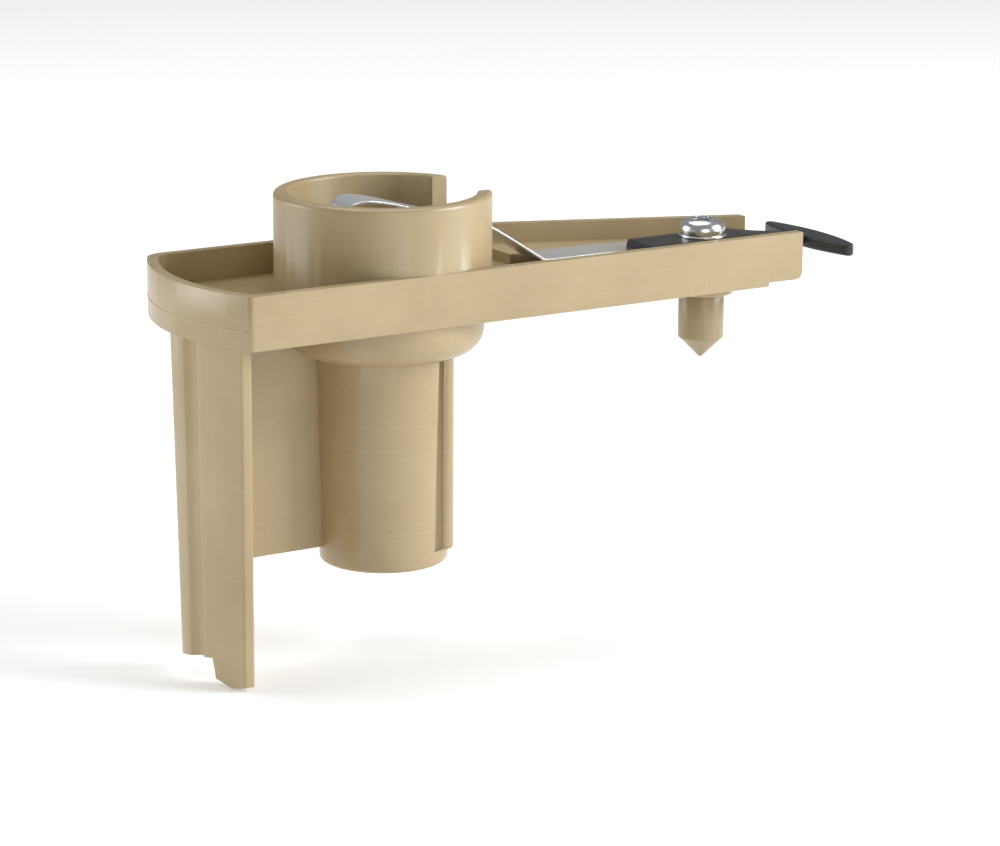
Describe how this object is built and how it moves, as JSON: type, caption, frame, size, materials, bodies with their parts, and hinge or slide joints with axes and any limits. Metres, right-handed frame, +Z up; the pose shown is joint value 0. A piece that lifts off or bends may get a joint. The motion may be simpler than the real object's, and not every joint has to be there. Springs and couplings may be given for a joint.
{
  "type": "umbrella swivel bracket",
  "caption": "Moulded post-mounted swivel bracket with a C-shaped mast collar, a leaf spring and a spring-loaded pointed index pin lifted by a T-shaped pull handle.",
  "frame": {"origin": "on the swivel axis, which is the axis of the collar and of the post tube, level with the tray's rim", "axes": "+Z up along the swivel axis, +X along the straight front wall towards the index pin, +Y to the back wall"},
  "size_m": [0.1487, 0.0483, 0.0926],
  "materials": {
    "tan_moulding": "moulded, semi-matt",
    "tan_pin": "moulded, semi-matt",
    "black_plastic": "moulded, satin",
    "plated_steel": "bright zinc plated",
    "spring_steel": "rolled strip"
  },
  "bodies": {
    "bracket": {"bracket_body": "tan_moulding"},
    "plunger": {"index_pin": "tan_pin", "t_handle": "black_plastic", "plain_washer": "plated_steel", "handle_screw": "plated_steel"},
    "leaf": {"leaf_spring": "spring_steel"}
  },
  "joints": [
    {"name": "pin_lift", "type": "slide", "parent": "bracket", "child": "plunger", "axis": [0, 0, 1], "range_m": [0, 0.006], "stiffness_N_per_m": 900, "springref_m": -0.005},
    {"name": "leaf_flex", "type": "hinge", "parent": "bracket", "child": "leaf", "pos_m": [0.0352, 0, -0.00375], "axis": [0, 1, 0], "range_deg": [-8, 2], "stiffness_Nm_per_rad": 1.5, "deforming": ["leaf_spring"]}
  ]
}
